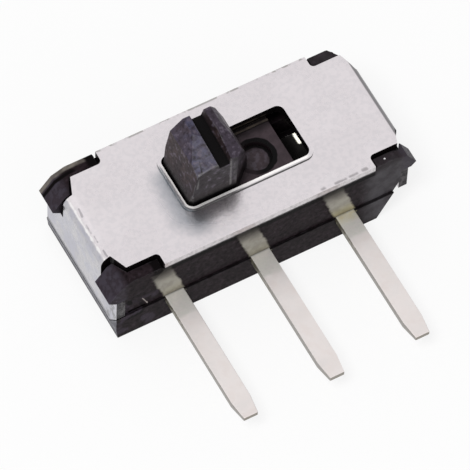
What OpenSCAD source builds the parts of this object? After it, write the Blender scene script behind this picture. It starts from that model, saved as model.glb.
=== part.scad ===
// Miniature slide switch with three flat terminals.
// A folded sheet cover holds a moulded slider in a moulded base. The slider carries
// a bridging contact that a coil spring presses onto the terminals' inner pads.
// The underside of the base is z = 0, the knob points to +Z and the terminals to -Y.
// The slider is drawn at the left end of its travel.

/* [Body] */
// Length over the two end flanges of the cover
body_l = 8.62; // [8:0.01:11]
// Width of the lower band of the base
body_w = 3.81; // [3.7:0.01:5]
// Height from the underside to the top of the cover
body_h = 2.7; // [2.6:0.05:3.6]

/* [Cover] */
// Thickness of the sheet
sheet_t = 0.25; // [0.15:0.01:0.3]
// Outside radius of the two end bends
bend_r = 0.35; // [0.32:0.01:0.5]
// Width across the front and back edges of the sheet
cover_w = 3.76; // [3.6:0.01:5]
// Distance by which the middle of the sheet stands in front of the middle of the body
cover_fwd = 0.02; // [0:0.01:0.05]
// Distance from the middle of the body to the middle of the window, along the body
window_x = 0.165; // [0:0.005:0.2]
// Distance from the middle of the body to the middle of the window, across the body
window_y = 0.05; // [-0.1:0.01:0.1]
// Corner radius of the window
window_r = 0.2; // [0.1:0.01:0.3]
// Width of the raised lip round the window
lip_w = 0.11; // [0.05:0.01:0.2]
// Height of the raised lip round the window
lip_h = 0.04; // [0.02:0.01:0.1]
// Height of the flange shoulders above the underside
shoulder_z = 1.76; // [1.5:0.01:1.9]
// Width of both flanges above their shoulders
neck_w = 2.04; // [1.6:0.02:2.2]
// Width of the right flange below its shoulders
right_flange_w = 3.44; // [3.2:0.02:3.6]
// Height of the foot of the right flange above the underside
right_foot_z = 0.75; // [0.5:0.01:1.2]
// Depth of the corner notches across the body
notch_d = 0.37; // [0.3:0.01:0.45]
// Length of the two left notches, from the flange's outer face
left_notch_l = 1.38; // [1:0.01:1.6]
// Length of the two right notches, from the flange's outer face
right_notch_l = 1.11; // [0.9:0.01:1.3]
// Radius in the corner of each notch
notch_r = 0.12; // [0.05:0.01:0.2]
// Length from the left flange's outer face at which the plate starts to narrow
left_taper_l = 0.46; // [0.3:0.01:0.5]
// Length from the left flange's outer face at which the neck has its full slimness
left_taper_end = 0.26; // [0.05:0.01:0.28]
// Length from the right flange's outer face at which the plate starts to narrow
right_taper_l = 0.27; // [0.26:0.01:0.4]
// Length from the right flange's outer face at which the neck has its full slimness
right_taper_end = 0.08; // [0.02:0.01:0.2]

/* [Base] */
// Height of the floor that carries the terminals' pads
floor_z = 0.94; // [0.8:0.01:1.05]
// Depth by which the upper walls stand back from the lower band
wall_step = 0.06; // [0.03:0.01:0.1]
// Height of the bevel on the right end
bevel_h = 1.35; // [1:0.01:1.6]
// Depth of the bevel on the right end
bevel_in = 0.68; // [0.4:0.01:0.8]
// Depth by which the corner posts sit below the top of the cover
post_drop = 0.13; // [0.08:0.01:0.2]
// Distance by which the left hooks reach past their flange
left_hook_out = 0.225; // [0.15:0.005:0.3]
// Distance by which the right hook reaches past its flange
right_hook_out = 0.16; // [0.1:0.01:0.3]
// Distance from the middle of the body to the inner side of the left hooks
left_hook_y = 1.14; // [1.12:0.01:1.4]
// Distance from the middle of the body to the inner side of the right hook
right_hook_y = 1.42; // [1.2:0.01:1.5]
// Distance by which the back right post stays inside its flange
blunt_in = 0.15; // [0:0.01:0.2]
// Chamfer on the outer corner of the back right post
blunt_corner = 0.3; // [0.1:0.01:0.4]
// Height of a hook from its flat underside to its tip
hook_rise = 0.16; // [0.1:0.01:0.3]
// Height of the foot under the left flange
foot_h = 0.42; // [0.3:0.01:0.6]
// Distance by which the outer face of the foot leans inward at the underside
foot_lean = 0.05; // [0.02:0.01:0.2]
// Length over which the foot rises to the top of the band at its front corner
foot_corner_l = 0.35; // [0.2:0.01:0.5]

/* [Slider] */
// Length of the sliding plate
slider_l = 4.26; // [4:0.01:4.9]
// Width of the sliding plate
slider_w = 2.6; // [2.3:0.01:2.7]
// Height of the underside of the plate above the base's underside
plate_z = 1.65; // [1.6:0.01:1.75]
// Depth of the top of the plate below the top of the cover
plate_drop = 0.35; // [0.32:0.01:0.5]
// Travel of the slider
travel = 1.5; // [1.2:0.05:1.8]
// Length of the knob along the travel, at the window
knob_l = 1.98; // [1.6:0.01:2.4]
// Width of the knob across the travel
knob_w = 1.54; // [1.3:0.01:1.9]
// Height of the knob above the top of the cover
knob_h = 1.63; // [1.4:0.01:3]
// Height of the left shoulder above the top of the cover
left_shoulder_h = 1.32; // [1:0.01:1.35]
// Distance from the knob's middle to its left shoulder
left_shoulder = 0.76; // [0.6:0.01:0.8]
// Height of the right shoulder above the top of the cover
right_shoulder_h = 1.45; // [1.3:0.01:1.5]
// Distance from the knob's middle to its right shoulder
right_shoulder = 0.54; // [0.45:0.01:0.6]
// Height of the bulge of the right flank above the top of the cover
right_bulge_h = 0.82; // [0.6:0.01:0.9]
// Distance from the knob's middle to the bulge of its right flank
right_bulge = 0.79; // [0.7:0.01:0.8]
// Distance from the knob's middle to the outer edge of each crest
crest_out = 0.4; // [0.35:0.01:0.45]
// Distance from the knob's middle to the inner edge of each crest
crest_in = 0.27; // [0.2:0.01:0.3]
// Half of the width of the groove's floor between the crests
groove_half = 0.13; // [0.1:0.01:0.18]
// Depth of the groove between the crests, at the knob's back face
groove_d = 0.22; // [0.1:0.01:0.3]
// Distance by which the groove's floor falls towards the knob's front face
groove_fall = 0.2; // [0.1:0.01:0.3]
// Distance by which the knob's front face leans back at its top
front_lean = 0.05; // [0.02:0.01:0.1]
// Chamfer on the knob's small upright edges
knob_edge = 0.11; // [0.05:0.01:0.15]
// Chamfer on the knob's front right edge, along the travel
corner_l = 0.64; // [0.4:0.01:0.7]
// Chamfer on the knob's front right edge, across the travel
corner_w = 0.58; // [0.4:0.01:0.7]
// Depth of the front facets below the crests, at the knob's front face
facet_drop = 0.25; // [0.1:0.01:0.3]
// Radius of the two round recesses in the plate
recess_r = 0.43; // [0.3:0.01:0.5]
// Depth of the two round recesses
recess_d = 0.18; // [0.1:0.01:0.25]
// Distance from the middle of the knob to the middle of a recess
recess_x = 1.34; // [1.2:0.01:1.5]

/* [Contacts] */
// Thickness of the bridging contact
bridge_t = 0.1; // [0.08:0.01:0.15]
// Length of the bridging contact
bridge_l = 2.6; // [2.5:0.05:3.2]
// Width of the bridging contact
bridge_w = 0.9; // [0.7:0.05:1]
// Distance between the two contact dimples
dimple_pitch = 2; // [1.8:0.05:2.1]
// Radius of the two contact dimples
dimple_r = 0.2; // [0.15:0.01:0.25]
// Height of the two contact dimples
dimple_h = 0.12; // [0.08:0.01:0.15]
// Diameter of the spring wire
wire_d = 0.1; // [0.08:0.01:0.12]
// Outside diameter of the spring
spring_d = 0.66; // [0.5:0.01:0.7]
// Number of turns in the spring
spring_turns = 7; // [5:1:9]

/* [Terminals] */
// Pitch of the terminals
pitch = 2.5; // [2.5:0.01:2.54]
// Thickness of the terminals
term_t = 0.25; // [0.2:0.01:0.3]
// Width of the terminals
term_w = 0.55; // [0.4:0.01:0.6]
// Length of the terminals beyond the front of the base
term_l = 4.02; // [3:0.01:6]
// Distance from the middle of the body to the middle terminal
term_x = -0.1; // [-0.15:0.01:0]
// Length of the taper at the tip of a terminal
tip_l = 0.55; // [0.3:0.01:0.6]
// Width of the tip of a terminal
tip_w = 0.41; // [0.3:0.01:0.5]
// Thickness of the tip of a terminal
tip_t = 0.15; // [0.1:0.01:0.2]

/* [Fits] */
// Gap between the cover and the base
cover_fit = 0.02; // [0.01:0.005:0.03]
// Gap between the slider and the parts that guide it
slide_fit = 0.04; // [0.02:0.005:0.05]
// Gap between the slider and the base at each end of the travel
stop_fit = 0.03; // [0.02:0.005:0.04]
// Gap between the knob and each end of the window at the end of the travel
window_fit = 0.045; // [0.04:0.005:0.1]
// Gap between the knob and each side of the window
window_side_fit = 0.065; // [0.05:0.005:0.1]
// Gap between a terminal and the base moulded round it
mould_fit = 0.01; // [0.005:0.001:0.02]
// Gap between the side of a corner post and the edge of its notch
post_fit = 0.07; // [0.04:0.01:0.1]
// Gap between the inner end of a corner post and the end of its notch
post_end_fit = 0.04; // [0.03:0.01:0.1]

/* [Hidden] */
$fn = 48;
// Overshoot of every cut past the faces that it opens.
cut = 0.5;
// Half of the body's length and widths.
end_x = body_l / 2;
edge_y = cover_w / 2;
front_y = edge_y + cover_fwd;
back_y = edge_y - cover_fwd;
band_y = body_w / 2;
wall_y = band_y - wall_step;
// Ends and top of the moulded base inside the cover.
base_x = end_x - sheet_t - cover_fit;
rim_z = body_h - sheet_t - cover_fit;
rim_edge = bend_r - sheet_t;
// Window, as long and as wide as the knob and its travel ask.
window_l = knob_l + travel + 2 * window_fit;
window_w = knob_w + 2 * window_side_fit;
// Slider at the left end of its travel.
knob_x = window_x - travel / 2;
plate_top_z = body_h - plate_drop;
knob_top_z = body_h + knob_h;
rib_w = 0.06;
rib_h = 0.05;
rib_ys = [0.81, 0.93];
// Side and front tilt of the facets on the front ends of the two crests.
facet_side = 18;
facet_front = 16;
// Holder below the plate for the bridging contact and its spring.
holder_end = 0.2;
holder_l = bridge_l + 2 * (holder_end + slide_fit);
holder_side = 0.2;
holder_w = bridge_w + 2 * (holder_side + slide_fit);
holder_lift = 0.05;
holder_z = floor_z + dimple_h + holder_lift;
pocket_h = 0.3;
spring_fit = 0.04;
bore_roof = 0.4;
bore_top_z = knob_top_z - groove_d - groove_fall - bore_roof;
// Cavity of the base: a wide guide for the plate above a narrow contact well.
cavity_x0 = knob_x - slider_l / 2 - stop_fit;
cavity_x1 = knob_x + travel + slider_l / 2 + stop_fit;
cavity_y = slider_w / 2 + slide_fit;
shelf_z = plate_z - slide_fit;
well_gap = 0.35;
well_x0 = knob_x - holder_l / 2 - well_gap;
well_x1 = knob_x + travel + holder_l / 2 + well_gap;
well_y = holder_w / 2 + well_gap;
// Bridging contact, just clear of the pads.
pad_gap = 0.02;
bridge_z = floor_z + pad_gap + dimple_h;
// Inner pads of the terminals, round the places where the dimples rest.
pad_margin = 0.3;
pad_y = 0.9;
dimple_x0 = knob_x - dimple_pitch / 2;
dimple_x1 = knob_x + dimple_pitch / 2;
pads = [[dimple_x0, dimple_x0], [dimple_x0 + travel, dimple_x1],
        [dimple_x1 + travel, dimple_x1 + travel]];
// Corner posts.
post_in_l = 0.04;
post_slope_l = 0.5;
hook_slope_l = 0.12;
post_top_z = body_h - post_drop;
hook_z = shoulder_z + cover_fit;
foot_fit = 2 * cover_fit;

// A block between two corners.
module block(low, high) {
    translate(low) cube(high - low);
}

// An outline in x and z, extruded across the body between two values of y.
module across(y0, y1) {
    translate([0, y1, 0]) rotate([90, 0, 0]) linear_extrude(y1 - y0) children();
}

// An outline in y and z, extruded along the body between two values of x.
module along(x0, x1) {
    translate([x0, 0, 0]) rotate([90, 0, 90]) linear_extrude(x1 - x0) children();
}

// A rectangle with four round corners, centred on the origin.
module rounded_rect(l, w, r) {
    square([l - 2 * r, w], center = true);
    square([l, w - 2 * r], center = true);
    for (sx = [-1, 1], sy = [-1, 1])
        translate([sx * (l / 2 - r), sy * (w / 2 - r)]) circle(r);
}

// The section of a folded channel: a top at height h with two round upper corners.
module channel(l, h, r) {
    translate([-l / 2, 0]) square([l, h - r]);
    translate([-l / 2 + r, 0]) square([l - 2 * r, h]);
    for (s = [-1, 1]) translate([s * (l / 2 - r), h - r]) circle(r);
}

// ---- cover ----

// Section of the sheet along the body.
module sheet_section() {
    difference() {
        channel(body_l, body_h, bend_r);
        translate([0, -cut])
            channel(body_l - 2 * sheet_t, body_h - sheet_t + cut, bend_r - sheet_t);
        translate([end_x - sheet_t - cut, -cut])
            square([sheet_t + 2 * cut, right_foot_z + cut]);
    }
}

// One corner notch, drawn from the corner of a plate at the origin towards +x and +y.
module notch(l) {
    translate([-cut, -cut]) {
        square([l + cut - notch_r, notch_d + cut]);
        square([l + cut, notch_d + cut - notch_r]);
    }
    translate([l - notch_r, notch_d - notch_r]) circle(notch_r);
}

// One corner of the plate: its notch, and the taper from the notch to the neck.
module corner_cut(notch_l, taper_l, taper_end) {
    notch(notch_l);
    polygon([[-cut, -cut], [taper_l, -cut], [taper_l, notch_d],
             [taper_end, edge_y - neck_w / 2], [-cut, edge_y - neck_w / 2]]);
}

// Outline of the plate and its two necks from above.
module cover_plan() {
    difference() {
        square([body_l, cover_w], center = true);
        for (s = [-1, 1]) {
            scale([1, s]) translate([-end_x, -edge_y])
                corner_cut(left_notch_l, left_taper_l, left_taper_end);
            scale([-1, s]) translate([-end_x, -edge_y])
                corner_cut(right_notch_l, right_taper_l, right_taper_end);
        }
    }
}

// The folded sheet, as wide as its plate above the shoulders and as its flanges below.
module folded_sheet() {
    intersection() {
        across(-edge_y, edge_y) sheet_section();
        union() {
            translate([0, 0, shoulder_z]) linear_extrude(body_h - shoulder_z) cover_plan();
            block([-end_x, -edge_y, -cut], [0, edge_y, shoulder_z]);
            block([0, -right_flange_w / 2, -cut], [end_x, right_flange_w / 2, shoulder_z]);
        }
    }
}

module cover() {
    color("gainsboro") {
        difference() {
            translate([0, -cover_fwd, 0]) folded_sheet();
            translate([window_x, window_y, body_h - sheet_t - cut])
                linear_extrude(sheet_t + 2 * cut)
                    rounded_rect(window_l, window_w, window_r);
            translate([0, 0, foot_fit]) along(-end_x - cut, 0) foot_outline(cut);
        }
        translate([window_x, window_y, body_h]) linear_extrude(lip_h) difference() {
            rounded_rect(window_l + 2 * lip_w, window_w + 2 * lip_w, window_r + lip_w);
            rounded_rect(window_l, window_w, window_r);
        }
    }
}

// ---- base ----

// Section of the moulding along the body, with the bevel at its right end.
module base_section() {
    polygon([[-base_x, 0], [base_x - bevel_in, 0], [base_x, bevel_h],
             [base_x, rim_z - rim_edge], [base_x - rim_edge, rim_z],
             [rim_edge - base_x, rim_z], [-base_x, rim_z - rim_edge]]);
}

// Outline of the foot from the left end, drawn further out on three sides to cut.
module foot_outline(grow = 0) {
    slope = (floor_z - foot_h) / foot_corner_l;
    polygon([[-band_y - grow, -grow], [band_y + grow, -grow], [band_y + grow, foot_h],
             [foot_corner_l - band_y, foot_h], [-band_y - grow, floor_z + slope * grow]]);
}

// The foot under the left flange. Its outer face leans inward.
module foot() {
    intersection() {
        along(-end_x, -base_x + cut) foot_outline();
        across(-band_y, band_y)
            polygon([[-end_x + foot_lean, 0], [0, 0], [0, floor_z], [-end_x, floor_z],
                     [-end_x, foot_h]]);
    }
}

// One corner post seen from the front, for the end at +x. It hooks over a shoulder.
module post_section(notch_l, out) {
    inner_x = end_x - notch_l + post_end_fit;
    tip_x = end_x + out;
    polygon([[inner_x, rim_z - post_in_l], [inner_x, rim_z + post_in_l],
             [inner_x + post_in_l, post_top_z], [end_x - post_slope_l, post_top_z],
             [end_x - hook_slope_l, post_top_z - hook_rise], [tip_x, hook_z + hook_rise],
             [end_x + min(out, cover_fit), hook_z], [base_x - cut, hook_z]]);
}

// One corner post seen from above, for the corner at +x and -y. Its outer side is at
// face_y, and it clears the sheet, whose edge is at sheet_y.
module post_plan(notch_l, face_y, sheet_y, taper_l, taper_end, hook_y, out, corner) {
    inner_x = end_x - notch_l + post_end_fit;
    inner_y = sheet_y - notch_d + post_fit;
    polygon([[inner_x, -face_y], [inner_x, -inner_y],
             [end_x - taper_l, -inner_y], [end_x - taper_end, -hook_y],
             [end_x + out, -hook_y], [end_x + out, corner - face_y],
             [end_x + out - corner, -face_y]]);
}

module left_post(sheet_y) {
    intersection() {
        across(-band_y, 0) post_section(left_notch_l, left_hook_out);
        linear_extrude(body_h)
            post_plan(left_notch_l, band_y, sheet_y, left_taper_l, left_taper_end,
                      left_hook_y, left_hook_out, 0);
    }
}

module right_post(sheet_y, out, corner) {
    intersection() {
        across(-wall_y, 0) post_section(right_notch_l, out);
        linear_extrude(body_h)
            post_plan(right_notch_l, wall_y, sheet_y, right_taper_l, blunt_in,
                      right_hook_y, out, corner);
    }
}

module base_housing() {
    color("dimgray") difference() {
        union() {
            across(-wall_y, wall_y) base_section();
            intersection() {
                across(-band_y, band_y) base_section();
                block([-end_x, -band_y, 0], [end_x, band_y, floor_z]);
            }
            foot();
            scale([-1, 1, 1]) left_post(front_y);
            scale([-1, -1, 1]) left_post(back_y);
            right_post(front_y, right_hook_out, 0);
            scale([1, -1, 1]) right_post(back_y, -blunt_in, blunt_corner);
        }
        block([cavity_x0, -cavity_y, shelf_z], [cavity_x1, cavity_y, body_h]);
        block([well_x0, -well_y, floor_z], [well_x1, well_y, shelf_z + cut]);
        for (i = [0 : 2]) terminal(i, mould_fit);
    }
}

// ---- slider ----

// Section of the knob along the travel, without its groove: flared flanks and a flat top.
module knob_section() {
    half = knob_l / 2;
    polygon([[-half, plate_z], [-half, body_h], [-left_shoulder, body_h + left_shoulder_h],
             [-crest_out, knob_top_z], [crest_out, knob_top_z],
             [right_shoulder, body_h + right_shoulder_h], [right_bulge, body_h + right_bulge_h],
             [half, body_h], [half, plate_z]]);
}

// Section of the knob across the travel: only the front face leans.
module knob_side_section() {
    half = knob_w / 2;
    polygon([[-half, plate_z], [-half, body_h], [-half + front_lean, knob_top_z],
             [half, knob_top_z], [half, plate_z]]);
}

// Outline of the knob from above, with a large chamfer at the front right.
module knob_plan() {
    x = knob_l / 2;
    y = knob_w / 2;
    polygon([[-x, knob_edge - y], [knob_edge - x, -y], [x - corner_l, -y], [x, corner_w - y],
             [x, y - knob_edge], [x - knob_edge, y], [knob_edge - x, y], [-x, y - knob_edge]]);
}

// Everything above the sloping facet on the front end of one crest.
module above_facet(side) {
    translate([side * crest_in, front_lean - knob_w / 2, knob_top_z - facet_drop])
        rotate([facet_front, side * facet_side, 0])
            translate([-knob_l, -knob_w, 0]) cube([2 * knob_l, 2 * knob_w, knob_h]);
}

// Groove between the two crests, with a floor that falls towards the front.
module groove() {
    wall_lean = (crest_in - groove_half) / (groove_d + groove_fall);
    reach = groove_d + groove_fall + cut;
    translate([0, knob_w / 2, knob_top_z - groove_d]) rotate([atan(groove_fall / knob_w), 0, 0])
        across(-2 * knob_w, knob_w)
            polygon([[-groove_half, 0], [groove_half, 0], [groove_half + wall_lean * reach, reach],
                     [-groove_half - wall_lean * reach, reach]]);
}

module knob() {
    difference() {
        intersection() {
            across(-knob_w, knob_w) knob_section();
            along(-knob_l, knob_l) knob_side_section();
            translate([0, 0, plate_z]) linear_extrude(knob_top_z) knob_plan();
        }
        groove();
        for (side = [-1, 1]) intersection() {
            above_facet(side);
            block([min(0, side * knob_l), -knob_w, 0],
                  [max(0, side * knob_l), knob_w, knob_top_z + cut]);
        }
    }
}

// Guided plate with its fine ribs and round recesses.
module slider_plate() {
    difference() {
        block([-slider_l / 2, -slider_w / 2, plate_z], [slider_l / 2, slider_w / 2, plate_top_z]);
        for (s = [-1, 1])
            translate([s * recess_x, 0, plate_top_z - recess_d]) cylinder(h = cut, r = recess_r);
    }
    for (s = [-1, 1], y = rib_ys)
        block([-slider_l / 2, s * y - rib_w / 2, plate_top_z],
              [slider_l / 2, s * y + rib_w / 2, plate_top_z + rib_h]);
}

module slider() {
    pocket_l = bridge_l + 2 * slide_fit;
    pocket_w = bridge_w + 2 * slide_fit;
    color("darkslategray") translate([knob_x, 0, 0]) difference() {
        union() {
            slider_plate();
            block([-holder_l / 2, -holder_w / 2, holder_z], [holder_l / 2, holder_w / 2, plate_z]);
            translate([0, window_y, 0]) knob();
        }
        block([-pocket_l / 2, -pocket_w / 2, holder_z - cut],
              [pocket_l / 2, pocket_w / 2, holder_z + pocket_h]);
        translate([0, 0, holder_z]) cylinder(h = bore_top_z - holder_z, d = spring_d + 2 * spring_fit);
    }
}

// ---- contacts ----

module contact_bridge() {
    ball_r = (dimple_r * dimple_r + dimple_h * dimple_h) / (2 * dimple_h);
    color("goldenrod") translate([knob_x, 0, bridge_z]) {
        block([-bridge_l / 2, -bridge_w / 2, 0], [bridge_l / 2, bridge_w / 2, bridge_t]);
        for (s = [-1, 1]) translate([s * dimple_pitch / 2, 0, 0]) intersection() {
            translate([0, 0, ball_r - dimple_h]) sphere(ball_r);
            block([-ball_r, -ball_r, -dimple_h - cut], [ball_r, ball_r, bridge_t / 2]);
        }
    }
}

// Wire of the spring: rings of points along a helix, joined into a closed tube.
module contact_spring() {
    sides = 8;
    steps_per_turn = 16;
    steps = spring_turns * steps_per_turn;
    wire_r = wire_d / 2;
    coil_r = (spring_d - wire_d) / 2;
    z0 = bridge_z + bridge_t + wire_r + spring_fit;
    z1 = bore_top_z - wire_r - spring_fit;
    function ring(i) = let (t = i / steps, a = 360 * spring_turns * t, z = z0 + (z1 - z0) * t)
        [for (k = [0 : sides - 1]) let (b = 360 * k / sides, r = coil_r + wire_r * cos(b))
            [r * cos(a), r * sin(a), z + wire_r * sin(b)]];
    points = [for (i = [0 : steps]) each ring(i)];
    walls = [for (i = [0 : steps - 1], k = [0 : sides - 1])
        let (a = i * sides + k, b = i * sides + (k + 1) % sides) [a, a + sides, b + sides, b]];
    caps = [[for (k = [0 : sides - 1]) k], [for (k = [sides - 1 : -1 : 0]) steps * sides + k]];
    color("silver") translate([knob_x, 0, 0]) polyhedron(points, concat(walls, caps), convexity = 10);
}

// ---- terminals ----

// Outline of the terminal at place i, from above: a pad inside the base and a tapered strip.
module terminal_plan(i, grow) {
    tip_y = -band_y - term_l;
    half = term_w / 2 + grow;
    mid = term_x + (i - 1) * pitch;
    pad_x0 = min(mid - term_w / 2, pads[i][0] - pad_margin) - grow;
    pad_x1 = max(mid + term_w / 2, pads[i][1] + pad_margin) + grow;
    translate([pad_x0, -pad_y - grow]) square([pad_x1 - pad_x0, 2 * (pad_y + grow)]);
    translate([mid, 0])
        polygon([[-half, 0], [-half, tip_y + tip_l], [-tip_w / 2 - grow, tip_y],
                 [tip_w / 2 + grow, tip_y], [half, tip_y + tip_l], [half, 0]]);
}

// Section of a terminal along its length: the underside of the tip slopes up.
module terminal_section(grow) {
    tip_y = -band_y - term_l;
    low = floor_z - term_t - grow;
    polygon([[tip_y, floor_z - tip_t], [tip_y + tip_l, low], [pad_y + grow, low],
             [pad_y + grow, floor_z + grow], [tip_y, floor_z + grow]]);
}

// The terminal at place i of the row, grown on all sides to cut its seat.
module terminal(i, grow) {
    intersection() {
        translate([0, 0, floor_z - term_t - grow]) linear_extrude(term_t + 2 * grow)
            terminal_plan(i, grow);
        along(-body_l, body_l) terminal_section(grow);
    }
}

module terminal_left() {
    color("lightgray") terminal(0, 0);
}

module terminal_common() {
    color("lightgray") terminal(1, 0);
}

module terminal_right() {
    color("lightgray") terminal(2, 0);
}

base_housing();
cover();
slider();
contact_bridge();
contact_spring();
terminal_left();
terminal_common();
terminal_right();
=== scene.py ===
import math
from functools import reduce

import bmesh
import bpy
from mathutils import Matrix, Vector


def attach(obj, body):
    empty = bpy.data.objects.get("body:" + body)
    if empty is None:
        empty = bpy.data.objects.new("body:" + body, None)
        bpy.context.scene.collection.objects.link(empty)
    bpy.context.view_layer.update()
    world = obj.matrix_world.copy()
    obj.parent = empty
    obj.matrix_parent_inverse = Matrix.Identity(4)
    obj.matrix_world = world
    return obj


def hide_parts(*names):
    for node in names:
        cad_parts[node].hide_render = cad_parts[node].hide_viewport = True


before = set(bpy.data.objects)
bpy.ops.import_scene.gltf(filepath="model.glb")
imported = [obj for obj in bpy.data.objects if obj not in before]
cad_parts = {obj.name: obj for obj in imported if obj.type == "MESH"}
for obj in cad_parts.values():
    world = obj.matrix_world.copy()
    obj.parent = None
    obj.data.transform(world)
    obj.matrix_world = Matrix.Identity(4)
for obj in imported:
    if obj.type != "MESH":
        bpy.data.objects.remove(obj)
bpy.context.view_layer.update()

# Every piece is made in millimetres and scaled to metres once, when it is finished.
MM = 0.001

# ---- sizes, in millimetres ----

END_X = 4.31
BODY_H = 2.7
SHEET_T = 0.25
BEND_R = 0.35
EDGE_Y, COVER_FWD = 1.88, 0.02
WINDOW_X, WINDOW_Y = 0.165, 0.05
WINDOW_L, WINDOW_W, WINDOW_R = 3.57, 1.67, 0.2
LIP_W, LIP_H = 0.11, 0.04
SHOULDER_Z = 1.76
NECK_W, RIGHT_FLANGE_W = 2.04, 3.44
RIGHT_FOOT_Z = 0.75
NOTCH_D, NOTCH_R = 0.37, 0.12
LEFT_NOTCH_L, RIGHT_NOTCH_L = 1.38, 1.11
LEFT_TAPER, RIGHT_TAPER = (0.46, 0.26), (0.27, 0.08)

COVER_FIT = 0.02
BASE_X = END_X - SHEET_T - COVER_FIT
RIM_Z = BODY_H - SHEET_T - COVER_FIT
RIM_EDGE = BEND_R - SHEET_T
BAND_Y, WALL_Y = 1.905, 1.845
FLOOR_Z = 0.94
BEVEL_H, BEVEL_IN = 1.35, 0.68
POST_TOP_Z = 2.57
POST_FIT, POST_END_FIT = 0.07, 0.04
POST_IN, POST_SLOPE, HOOK_SLOPE = 0.04, 0.5, 0.12
ROOT_L = 0.5
HOOK_Z, HOOK_RISE = SHOULDER_Z + COVER_FIT, 0.16
LEFT_HOOK_OUT, LEFT_HOOK_Y = 0.225, 1.14
RIGHT_HOOK_OUT, RIGHT_HOOK_Y = 0.16, 1.42
BLUNT_IN, BLUNT_CORNER = 0.15, 0.3
FOOT_H, FOOT_LEAN, FOOT_CORNER_L, FOOT_FIT = 0.42, 0.05, 0.35, 0.04
CAVITY_X = (-2.745, 3.075)
CAVITY_Y = 1.34
SHELF_Z = 1.61
WELL_X = (-2.475, 2.805)
WELL_Y = 1.04

KNOB_X = -0.585
KNOB_L, KNOB_W = 1.98, 1.54
KNOB_TOP_Z = 4.33
PLATE_L, PLATE_W = 4.26, 2.6
PLATE_Z, PLATE_TOP_Z = 1.65, 2.35
LEFT_SHOULDER = (0.76, 1.32)
RIGHT_SHOULDER = (0.54, 1.45)
RIGHT_BULGE = (0.79, 0.82)
CREST_OUT, CREST_IN = 0.4, 0.27
GROOVE_HALF, GROOVE_D, GROOVE_FALL = 0.13, 0.22, 0.2
FRONT_LEAN = 0.05
KNOB_EDGE = 0.11
CORNER_L, CORNER_W = 0.64, 0.58
FACET_DROP, FACET_SIDE, FACET_FRONT = 0.25, 18, 16
RECESS_R, RECESS_D, RECESS_X = 0.43, 0.18, 1.34
RIB_W, RIB_H = 0.06, 0.05
RIB_YS = (0.81, 0.93)
HOLDER_L, HOLDER_W, HOLDER_Z = 3.08, 1.38, 1.11
POCKET_L, POCKET_W, POCKET_H = 2.68, 0.98, 0.3
BORE_D, BORE_TOP_Z = 0.74, 3.51

BRIDGE_L, BRIDGE_W, BRIDGE_T, BRIDGE_Z = 2.6, 0.9, 0.1, 1.08
DIMPLE_PITCH, DIMPLE_R, DIMPLE_H = 2.0, 0.2, 0.12
WIRE_D, SPRING_D, SPRING_TURNS, SPRING_FIT = 0.1, 0.66, 7, 0.04

TERM_XS = (-2.6, -0.1, 2.4)
TERM_T, TERM_W, TERM_L = 0.25, 0.55, 4.02
MOULD_FIT = 0.01
TIP_L, TIP_W, TIP_T = 0.55, 0.41, 0.15
TIP_Y = -BAND_Y - TERM_L
PAD_Y = 0.9
PADS = ((-2.875, -1.285), (-0.385, 0.715), (1.615, 2.675))

# How far cutters reach past a piece, joined blocks reach into one and cutters into each other,
# and how near to a place an edge counts as being there.
FAR, OVERLAP, LAP, NEAR = 6, 0.1, 0.001, 0.01
ROD_SIDES = 48
# Small rounds that break the sharp edges of the pieces.
EDGE_ROUND, SLIDER_ROUND, BRIDGE_ROUND = 0.03, 0.02, 0.015

# ---- making pieces by hand ----


def deselect():
    """Deselects every object, so that an operator acts only on what is added next."""
    bpy.ops.object.select_all(action="DESELECT")


def work_on(piece):
    """Makes one piece the only selected and active object."""
    deselect()
    piece.select_set(True)
    bpy.context.view_layer.objects.active = piece


def settle(piece):
    """Puts the place, turn and scale of a piece into its mesh."""
    work_on(piece)
    bpy.ops.object.transform_apply(location=True, rotation=True, scale=True)


def new_piece():
    """The primitive that was just added, with its place put into its mesh."""
    piece = bpy.context.active_object
    settle(piece)
    return piece


def block(low, high):
    """A block between two corners."""
    low, high = Vector(low), Vector(high)
    deselect()
    bpy.ops.mesh.primitive_cube_add(size=1, location=(low + high) / 2, scale=high - low)
    return new_piece()


def slab(half_l, half_w, z0, z1):
    """A block centred on the middle, between two heights."""
    return block((-half_l, -half_w, z0), (half_l, half_w, z1))


def rod(x, z0, z1, radius):
    """An upright round rod between two heights, in the middle of the width."""
    deselect()
    bpy.ops.mesh.primitive_cylinder_add(vertices=ROD_SIDES, radius=radius, depth=z1 - z0,
                                        location=(x, 0, (z0 + z1) / 2))
    return new_piece()


def open_mesh(piece, kind, action="DESELECT"):
    """Opens a piece for editing with nothing or all of it selected, and gives its edit mesh."""
    work_on(piece)
    bpy.ops.object.mode_set(mode="EDIT")
    bpy.ops.mesh.select_mode(type=kind)
    bpy.ops.mesh.select_all(action=action)
    return bmesh.from_edit_mesh(piece.data)


def close_mesh(piece):
    """Ends the editing of a piece."""
    bmesh.update_edit_mesh(piece.data)
    bpy.ops.object.mode_set(mode="OBJECT")


def plane_cut(piece, point, outward):
    """Cuts off what lies outward of a plane through a point, and closes the cut."""
    open_mesh(piece, "FACE", "SELECT")
    bpy.ops.mesh.bisect(plane_co=point, plane_no=Vector(outward).normalized(), threshold=1e-5,
                        use_fill=True, clear_outer=True)
    close_mesh(piece)


def slope_cut(piece, start, end):
    """Cuts off what lies to the left of the line from start to end, seen from the front."""
    (x0, z0), (x1, z1) = start, end
    plane_cut(piece, (x0, 0, z0), (z0 - z1, 0, x1 - x0))


def plan_cut(piece, start, end):
    """Cuts off what lies to the left of the line from start to end, seen from above."""
    (x0, y0), (x1, y1) = start, end
    plane_cut(piece, (x0, y0, 0), (y0 - y1, x1 - x0, 0))


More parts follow.
